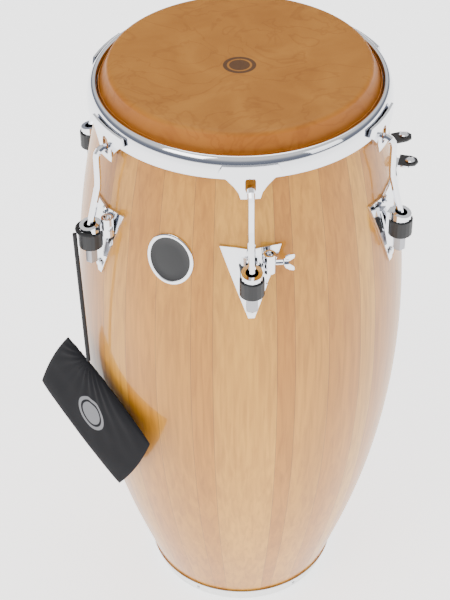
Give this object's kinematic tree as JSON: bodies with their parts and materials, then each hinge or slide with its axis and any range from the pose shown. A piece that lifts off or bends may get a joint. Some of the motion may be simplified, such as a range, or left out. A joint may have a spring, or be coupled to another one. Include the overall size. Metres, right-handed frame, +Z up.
{
  "type": "conga drum",
  "caption": "Tall barrel-shaped stave hand drum with a rawhide head, a chrome rim pulled down by hooks, side plates with tuning nuts, and a hanging tool pouch.",
  "frame": {"origin": "on the drum's axis at the floor, under the foot", "axes": "+Z up along the drum's axis, the front lug faces -Y"},
  "size_m": [0.4559, 0.4276, 0.762],
  "materials": {
    "lacquered_wood": "gloss lacquer",
    "foot_steel": "satin",
    "rubber": "matte",
    "rawhide": "satin",
    "hoop_steel": "satin",
    "chrome": "polished",
    "nut_steel": "satin",
    "badge_enamel": "gloss",
    "black_cloth": "matte",
    "cord": "matte"
  },
  "bodies": {
    "drum": {"shell": "lacquered_wood", "foot_band": "foot_steel", "foot_rubber": "rubber", "side_plate_1": "chrome", "shell_protector_1": "rubber", "plate_bolt_upper_1": "chrome", "plate_bolt_lower_1": "chrome", "side_plate_2": "chrome", "shell_protector_2": "rubber", "plate_bolt_upper_2": "chrome", "plate_bolt_lower_2": "chrome", "side_plate_3": "chrome", "shell_protector_3": "rubber", "plate_bolt_upper_3": "chrome", "plate_bolt_lower_3": "chrome", "side_plate_4": "chrome", "shell_protector_4": "rubber", "plate_bolt_upper_4": "chrome", "plate_bolt_lower_4": "chrome", "side_plate_5": "chrome", "shell_protector_5": "rubber", "plate_bolt_upper_5": "chrome", "plate_bolt_lower_5": "chrome", "side_plate_6": "chrome", "shell_protector_6": "rubber", "plate_bolt_upper_6": "chrome", "plate_bolt_lower_6": "chrome", "badge": "badge_enamel", "side_bracket": "chrome", "side_pad_1": "rubber", "side_pad_2": "rubber", "pad_screw_1": "chrome", "pad_screw_2": "chrome", "cord_wrap": "cord"},
    "crown": {"head_skin": "rawhide", "flesh_hoop": "hoop_steel", "rim": "chrome", "rim_ear_1": "chrome", "rim_ear_2": "chrome", "rim_ear_3": "chrome", "rim_ear_4": "chrome", "rim_ear_5": "chrome", "rim_ear_6": "chrome", "tuning_hook_1": "chrome", "tuning_hook_2": "chrome", "tuning_hook_3": "chrome", "tuning_hook_4": "chrome", "tuning_hook_5": "chrome", "tuning_hook_6": "chrome"},
    "nut_1": {"lug_nut_1": "nut_steel"},
    "nut_2": {"lug_nut_2": "nut_steel"},
    "nut_3": {"lug_nut_3": "nut_steel"},
    "nut_4": {"lug_nut_4": "nut_steel"},
    "nut_5": {"lug_nut_5": "nut_steel"},
    "nut_6": {"lug_nut_6": "nut_steel"},
    "wing": {"wing_screw": "chrome"},
    "pouch_swing": {"pouch": "black_cloth", "pouch_cord": "cord"}
  },
  "joints": [
    {"name": "crown_slide", "type": "slide", "parent": "drum", "child": "crown", "axis": [0, 0, 1], "range_m": [0, 0.01]},
    {"name": "nut_1_turn", "type": "hinge", "parent": "drum", "child": "nut_1", "pos_m": [0.01224, -0.20013, 0.5687], "axis": [0, 0, -1], "range_deg": [0, 2552]},
    {"name": "nut_2_turn", "type": "hinge", "parent": "drum", "child": "nut_2", "pos_m": [0.17943, -0.08946, 0.5687], "axis": [0, 0, -1], "range_deg": [0, 2552]},
    {"name": "nut_3_turn", "type": "hinge", "parent": "drum", "child": "nut_3", "pos_m": [0.16719, 0.11066, 0.5687], "axis": [0, 0, -1], "range_deg": [0, 2552]},
    {"name": "nut_4_turn", "type": "hinge", "parent": "drum", "child": "nut_4", "pos_m": [-0.01224, 0.20013, 0.5687], "axis": [0, 0, -1], "range_deg": [0, 2552]},
    {"name": "nut_5_turn", "type": "hinge", "parent": "drum", "child": "nut_5", "pos_m": [-0.17943, 0.08946, 0.5687], "axis": [0, 0, -1], "range_deg": [0, 2552]},
    {"name": "nut_6_turn", "type": "hinge", "parent": "drum", "child": "nut_6", "pos_m": [-0.16719, -0.11066, 0.5687], "axis": [0, 0, -1], "range_deg": [0, 2552]},
    {"name": "wing_turn", "type": "hinge", "parent": "drum", "child": "wing", "pos_m": [0.03796, -0.18653, 0.6225], "axis": [0.9981, 0.061, 0], "continuous": true},
    {"name": "pouch_hang", "type": "hinge", "parent": "drum", "child": "pouch_swing", "pos_m": [-0.18354, -0.12148, 0.6128], "axis": [-0.7133, -0.7009, 0], "range_deg": [-30, 30]}
  ],
  "couplings": [
    {"joint": "nut_1_turn", "follows": "crown_slide", "rad_per_m": 4453},
    {"joint": "nut_2_turn", "follows": "crown_slide", "rad_per_m": 4453},
    {"joint": "nut_3_turn", "follows": "crown_slide", "rad_per_m": 4453},
    {"joint": "nut_4_turn", "follows": "crown_slide", "rad_per_m": 4453},
    {"joint": "nut_5_turn", "follows": "crown_slide", "rad_per_m": 4453},
    {"joint": "nut_6_turn", "follows": "crown_slide", "rad_per_m": 4453}
  ]
}
